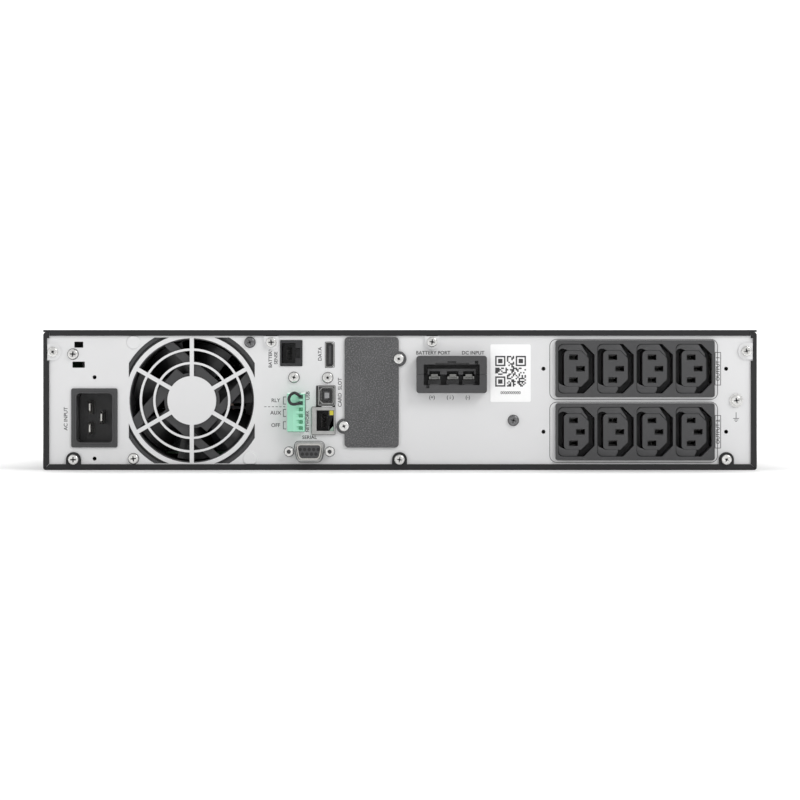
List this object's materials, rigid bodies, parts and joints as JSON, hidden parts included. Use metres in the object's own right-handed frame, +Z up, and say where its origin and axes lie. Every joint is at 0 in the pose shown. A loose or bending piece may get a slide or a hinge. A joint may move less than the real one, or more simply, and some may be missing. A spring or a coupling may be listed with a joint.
{
  "type": "rackmount uninterruptible power supply",
  "caption": "Rackmount uninterruptible power supply: sheet-steel case, rear panel with fan, mains inlet, outlets and data ports, battery tray behind a front door.",
  "frame": {"origin": "middle of the footprint, on the ground", "axes": "+X to the right as one faces the rear panel, +Y from the rear panel to the front bezel, +Z up"},
  "size_m": [0.438, 0.6143, 0.086],
  "materials": {
    "case_paint": "fine-textured dark grey powder coat",
    "panel_paint": "light grey satin paint",
    "inner_steel": "bare zinc-plated sheet steel",
    "bezel_plastic": "fine spark-textured black ABS",
    "window_clear": "tinted polished acrylic",
    "display_glass": "dark display behind glass",
    "board_green": "green solder mask",
    "light_clear": "clear light pipe",
    "button_plastic": "satin grey moulded plastic",
    "battery_abs": "satin battery case",
    "terminal_metal": "tin-plated tab",
    "link_sleeve": "red insulated strap",
    "plug_grey": "grey connector housing",
    "strap_web": "woven nylon strap",
    "screw_zinc": "bright zinc plate",
    "socket_black": "moulded black thermoplastic",
    "contact_tin": "bright tin plate",
    "fan_plastic": "black glass-filled plastic",
    "slot_paint": "fine-textured dark grey paint",
    "plug_mint": "pale green moulded plastic",
    "wire_black": "black wire insulation",
    "port_shell": "tin-plated folded shell",
    "jack_plastic": "mid grey connector moulding",
    "serial_insert": "black connector insert",
    "label_white": "white printed label",
    "sink_aluminium": "extruded aluminium",
    "capacitor_sleeve": "shrink sleeve",
    "wound_copper": "enamelled copper wire",
    "relay_blue": "blue relay case"
  },
  "bodies": {
    "case": {"battery_socket": "plug_grey", "bay_wall": "inner_steel", "bottom_tray": "case_paint", "capacitors": "capacitor_sleeve", "card_cage": "inner_steel", "code_label": "label_white", "cover_screws": "screw_zinc", "display_module": "display_glass", "display_window": "window_clear", "earth_washer": "screw_zinc", "fan_frame": "fan_plastic", "front_bezel": "bezel_plastic", "front_board": "board_green", "front_frame": "inner_steel", "front_screws": "screw_zinc", "heat_sinks": "sink_aluminium", "inlet_housing": "socket_black", "inlet_pins": "contact_tin", "inner_wires": "wire_black", "jack_screws": "screw_zinc", "light_pipes": "light_clear", "network_insert": "socket_black", "network_lights": "light_clear", "outlet_block_lower": "socket_black", "outlet_block_upper": "socket_black", "outlet_contacts": "contact_tin", "port_contacts": "contact_tin", "port_lower": "socket_black", "port_shells": "port_shell", "port_tongues": "jack_plastic", "port_upper": "socket_black", "power_board": "board_green", "rear_panel": "panel_paint", "rear_screws": "screw_zinc", "relay_header": "plug_mint", "relays": "relay_blue", "sense_jack": "socket_black", "serial_insert": "serial_insert", "serial_shell": "port_shell", "side_boards": "board_green", "slot_cover": "slot_paint", "top_cover": "case_paint", "wound_parts": "wound_copper"},
    "fan_rotor": {"fan_rotor": "fan_plastic"},
    "battery_door": {"battery_door": "bezel_plastic"},
    "battery_tray": {"battery_tray": "inner_steel", "batteries": "battery_abs", "battery_terminals": "terminal_metal", "battery_links": "link_sleeve", "battery_plug": "plug_grey", "pull_strap": "strap_web", "thumb_screws": "screw_zinc"},
    "relay_plug": {"relay_plug": "plug_mint", "clamp_screws": "screw_zinc", "jumper_wire": "wire_black"},
    "power_button": {"power_button": "button_plastic"},
    "down_button": {"down_button": "button_plastic"},
    "up_button": {"up_button": "button_plastic"},
    "enter_button": {"enter_button": "button_plastic"}
  },
  "joints": [
    {"name": "fan_spin", "type": "hinge", "parent": "case", "child": "fan_rotor", "pos_m": [-0.1279, -0.2808, 0.0427], "axis": [0, 1, 0], "continuous": true},
    {"name": "tray_slide", "type": "slide", "parent": "case", "child": "battery_tray", "axis": [0, 1, 0], "range_m": [0, 0.4]},
    {"name": "door_pull", "type": "slide", "parent": "case", "child": "battery_door", "axis": [0, 1, 0], "range_m": [0, 0.45]},
    {"name": "relay_plug_pull", "type": "slide", "parent": "case", "child": "relay_plug", "axis": [0, -1, 0], "range_m": [0, 0.008]},
    {"name": "power_button_press", "type": "slide", "parent": "case", "child": "power_button", "axis": [0, -1, 0], "range_m": [0, 0.0008], "stiffness_N_per_m": 500, "springref_m": -0.0006},
    {"name": "down_button_press", "type": "slide", "parent": "case", "child": "down_button", "axis": [0, -1, 0], "range_m": [0, 0.0008], "stiffness_N_per_m": 500, "springref_m": -0.0006},
    {"name": "up_button_press", "type": "slide", "parent": "case", "child": "up_button", "axis": [0, -1, 0], "range_m": [0, 0.0008], "stiffness_N_per_m": 500, "springref_m": -0.0006},
    {"name": "enter_button_press", "type": "slide", "parent": "case", "child": "enter_button", "axis": [0, -1, 0], "range_m": [0, 0.0008], "stiffness_N_per_m": 500, "springref_m": -0.0006}
  ],
  "couplings": [
    {"joint": "door_pull", "follows": "tray_slide", "ratio": 1.125}
  ]
}
